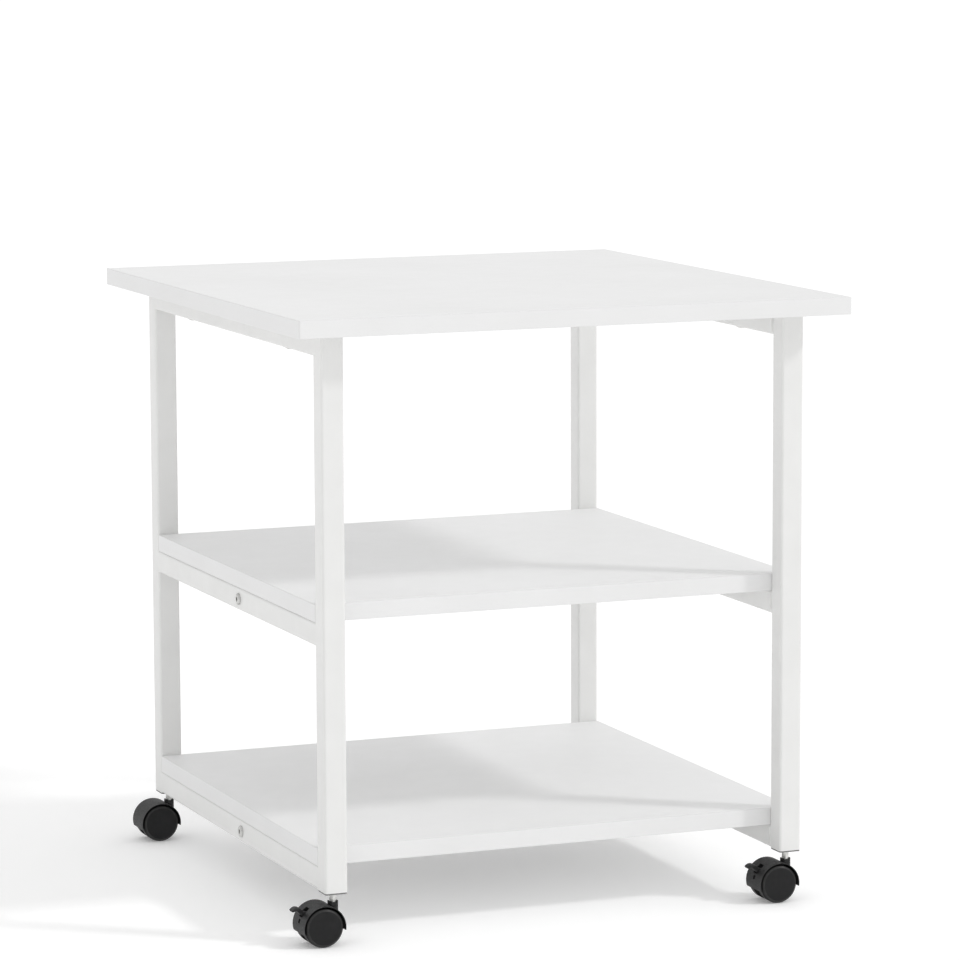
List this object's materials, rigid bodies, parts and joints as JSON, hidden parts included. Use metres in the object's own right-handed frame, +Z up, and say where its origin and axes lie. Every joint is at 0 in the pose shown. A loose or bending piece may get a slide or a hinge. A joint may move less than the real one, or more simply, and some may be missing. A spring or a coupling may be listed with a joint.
{
  "type": "mobile printer stand",
  "caption": "White printer stand with a tabletop over open shelves on a square-tube frame, rolling on swivel twin-wheel casters, the front ones with brake pedals.",
  "frame": {"origin": "on the floor, under the centre of the tabletop", "axes": "+X to the right across the tabletop's short side, +Y from the front to the back, +Z up"},
  "size_m": [0.5, 0.53, 0.53],
  "materials": {
    "white_board": "white melamine laminate on particle board, fine texture, satin",
    "white_edge_band": "white edge banding, satin",
    "white_powder_coat": "white powder coat, fine orange peel, satin",
    "zinc_steel": "bright zinc plate",
    "spring_steel": "blackened spring steel",
    "grey_insert": "grey coated plate, matt",
    "black_nylon": "moulded black nylon, fine spark texture",
    "black_wheel": "moulded black nylon, smooth"
  },
  "bodies": {
    "stand": {"tabletop": "white_board", "middle_shelf": "white_board", "bottom_shelf": "white_board", "tabletop_edge_band": "white_edge_band", "middle_shelf_edge_band": "white_edge_band", "bottom_shelf_edge_band": "white_edge_band", "front_left_post": "white_powder_coat", "front_right_post": "white_powder_coat", "rear_left_post": "white_powder_coat", "rear_right_post": "white_powder_coat", "left_top_rail": "white_powder_coat", "left_middle_rail": "white_powder_coat", "left_bottom_rail": "white_powder_coat", "right_top_rail": "white_powder_coat", "right_middle_rail": "white_powder_coat", "right_bottom_rail": "white_powder_coat", "middle_crossbar": "white_powder_coat", "bottom_crossbar": "white_powder_coat", "crossbar_nuts": "zinc_steel", "crossbar_bolts": "zinc_steel", "tabletop_screws": "zinc_steel", "shelf_screws": "zinc_steel", "stem_clips": "spring_steel", "front_left_insert": "grey_insert", "front_left_stem": "zinc_steel", "front_right_insert": "grey_insert", "front_right_stem": "zinc_steel", "rear_left_insert": "grey_insert", "rear_left_stem": "zinc_steel", "rear_right_insert": "grey_insert", "rear_right_stem": "zinc_steel"},
    "front_left_caster": {"front_left_housing": "black_nylon", "front_left_axle": "zinc_steel", "front_left_lever_pin": "zinc_steel"},
    "front_left_front_wheel": {"front_left_front_wheel": "black_wheel"},
    "front_left_rear_wheel": {"front_left_rear_wheel": "black_wheel"},
    "front_left_brake": {"front_left_brake_lever": "black_nylon"},
    "front_right_caster": {"front_right_housing": "black_nylon", "front_right_axle": "zinc_steel", "front_right_lever_pin": "zinc_steel"},
    "front_right_front_wheel": {"front_right_front_wheel": "black_wheel"},
    "front_right_rear_wheel": {"front_right_rear_wheel": "black_wheel"},
    "front_right_brake": {"front_right_brake_lever": "black_nylon"},
    "rear_left_caster": {"rear_left_housing": "black_nylon", "rear_left_axle": "zinc_steel"},
    "rear_left_front_wheel": {"rear_left_front_wheel": "black_wheel"},
    "rear_left_rear_wheel": {"rear_left_rear_wheel": "black_wheel"},
    "rear_right_caster": {"rear_right_housing": "black_nylon", "rear_right_axle": "zinc_steel"},
    "rear_right_front_wheel": {"rear_right_front_wheel": "black_wheel"},
    "rear_right_rear_wheel": {"rear_right_rear_wheel": "black_wheel"}
  },
  "joints": [
    {"name": "front_left_swivel", "type": "hinge", "parent": "stand", "child": "front_left_caster", "pos_m": [-0.21, -0.223, 0.03], "axis": [0, 0, 1], "continuous": true},
    {"name": "front_left_front_wheel_spin", "type": "hinge", "parent": "front_left_caster", "child": "front_left_front_wheel", "pos_m": [-0.222, -0.223, 0.017], "axis": [0, 1, 0], "continuous": true},
    {"name": "front_left_rear_wheel_spin", "type": "hinge", "parent": "front_left_caster", "child": "front_left_rear_wheel", "pos_m": [-0.222, -0.223, 0.017], "axis": [0, 1, 0], "continuous": true},
    {"name": "front_left_brake_lift", "type": "hinge", "parent": "front_left_caster", "child": "front_left_brake", "pos_m": [-0.228, -0.223, 0.026], "axis": [0, 1, 0], "range_deg": [0, 12]},
    {"name": "front_right_swivel", "type": "hinge", "parent": "stand", "child": "front_right_caster", "pos_m": [0.21, -0.223, 0.03], "axis": [0, 0, 1], "continuous": true},
    {"name": "front_right_front_wheel_spin", "type": "hinge", "parent": "front_right_caster", "child": "front_right_front_wheel", "pos_m": [0.198, -0.223, 0.017], "axis": [0, 1, 0], "continuous": true},
    {"name": "front_right_rear_wheel_spin", "type": "hinge", "parent": "front_right_caster", "child": "front_right_rear_wheel", "pos_m": [0.198, -0.223, 0.017], "axis": [0, 1, 0], "continuous": true},
    {"name": "front_right_brake_lift", "type": "hinge", "parent": "front_right_caster", "child": "front_right_brake", "pos_m": [0.192, -0.223, 0.026], "axis": [0, 1, 0], "range_deg": [0, 12]},
    {"name": "rear_left_swivel", "type": "hinge", "parent": "stand", "child": "rear_left_caster", "pos_m": [-0.21, 0.223, 0.03], "axis": [0, 0, 1], "continuous": true},
    {"name": "rear_left_front_wheel_spin", "type": "hinge", "parent": "rear_left_caster", "child": "rear_left_front_wheel", "pos_m": [-0.222, 0.223, 0.017], "axis": [0, 1, 0], "continuous": true},
    {"name": "rear_left_rear_wheel_spin", "type": "hinge", "parent": "rear_left_caster", "child": "rear_left_rear_wheel", "pos_m": [-0.222, 0.223, 0.017], "axis": [0, 1, 0], "continuous": true},
    {"name": "rear_right_swivel", "type": "hinge", "parent": "stand", "child": "rear_right_caster", "pos_m": [0.21, 0.223, 0.03], "axis": [0, 0, 1], "continuous": true},
    {"name": "rear_right_front_wheel_spin", "type": "hinge", "parent": "rear_right_caster", "child": "rear_right_front_wheel", "pos_m": [0.198, 0.223, 0.017], "axis": [0, 1, 0], "continuous": true},
    {"name": "rear_right_rear_wheel_spin", "type": "hinge", "parent": "rear_right_caster", "child": "rear_right_rear_wheel", "pos_m": [0.198, 0.223, 0.017], "axis": [0, 1, 0], "continuous": true}
  ]
}
